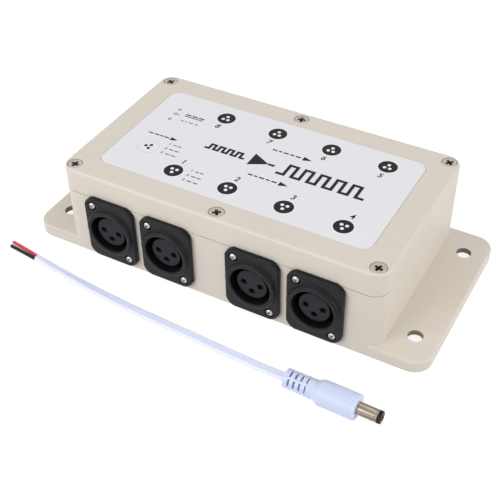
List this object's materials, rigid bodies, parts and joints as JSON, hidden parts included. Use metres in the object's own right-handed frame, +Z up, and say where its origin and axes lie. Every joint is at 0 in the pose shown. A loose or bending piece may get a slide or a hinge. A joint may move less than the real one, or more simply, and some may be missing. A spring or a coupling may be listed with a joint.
{
  "type": "stage lighting signal amplifier box",
  "caption": "Plastic wall box with screw ears that splits one lighting control signal to outputs on both long sides, with its loose power lead.",
  "frame": {"origin": "centre of the box's footprint, on its flat underside", "axes": "+X along the long side towards the end without connectors, -Y towards outputs 1 to 4, +Z up through the lid"},
  "size_m": [0.2043, 0.1307, 0.046],
  "materials": {
    "case_plastic": "fine matt moulding",
    "label_film": "satin film",
    "seal_rubber": "matt",
    "screw_steel": "satin",
    "bright_steel": "polished",
    "socket_black": "semi-gloss",
    "insert_black": "matt",
    "contact_metal": "satin",
    "board_green": "lacquered",
    "wire_red": "smooth",
    "wire_black": "smooth",
    "lead_white": "smooth",
    "plug_nickel": "nickel-plated"
  },
  "bodies": {
    "case": {"case_base": "case_plastic", "output_shell_1": "socket_black", "output_shell_2": "socket_black", "output_shell_3": "socket_black", "output_shell_4": "socket_black", "output_shell_5": "socket_black", "output_shell_6": "socket_black", "output_shell_7": "socket_black", "output_shell_8": "socket_black", "output_insert_1": "insert_black", "output_insert_2": "insert_black", "output_insert_3": "insert_black", "output_insert_4": "insert_black", "output_insert_5": "insert_black", "output_insert_6": "insert_black", "output_insert_7": "insert_black", "output_insert_8": "insert_black", "output_screw_upper_1": "bright_steel", "output_screw_lower_1": "bright_steel", "output_screw_upper_2": "bright_steel", "output_screw_lower_2": "bright_steel", "output_screw_upper_3": "bright_steel", "output_screw_lower_3": "bright_steel", "output_screw_upper_4": "bright_steel", "output_screw_lower_4": "bright_steel", "output_screw_upper_5": "bright_steel", "output_screw_lower_5": "bright_steel", "output_screw_upper_6": "bright_steel", "output_screw_lower_6": "bright_steel", "output_screw_upper_7": "bright_steel", "output_screw_lower_7": "bright_steel", "output_screw_upper_8": "bright_steel", "output_screw_lower_8": "bright_steel", "input_shell": "socket_black", "input_insert": "insert_black", "input_screw_front": "bright_steel", "input_screw_rear": "bright_steel", "jack_body": "socket_black", "jack_centre_pin": "contact_metal", "jack_nut": "bright_steel", "circuit_board": "board_green", "board_screw_left": "screw_steel", "board_screw_right": "screw_steel", "power_wire_red": "wire_red", "power_wire_black": "wire_black", "lead_jacket": "lead_white", "lead_wire_red": "wire_red", "lead_wire_black": "wire_black", "plug_grip": "lead_white", "plug_sleeve": "plug_nickel", "plug_tip_ring": "socket_black"},
    "lid": {"case_lid": "case_plastic", "lid_seal": "seal_rubber", "top_label": "label_film", "lid_screw_1": "screw_steel", "lid_screw_2": "screw_steel", "lid_screw_3": "screw_steel", "lid_screw_4": "screw_steel", "lid_screw_5": "screw_steel", "lid_screw_6": "screw_steel"}
  },
  "joints": [
    {"name": "lid_lift", "type": "slide", "parent": "case", "child": "lid", "axis": [0, 0, 1], "range_m": [0, 0.03]}
  ]
}
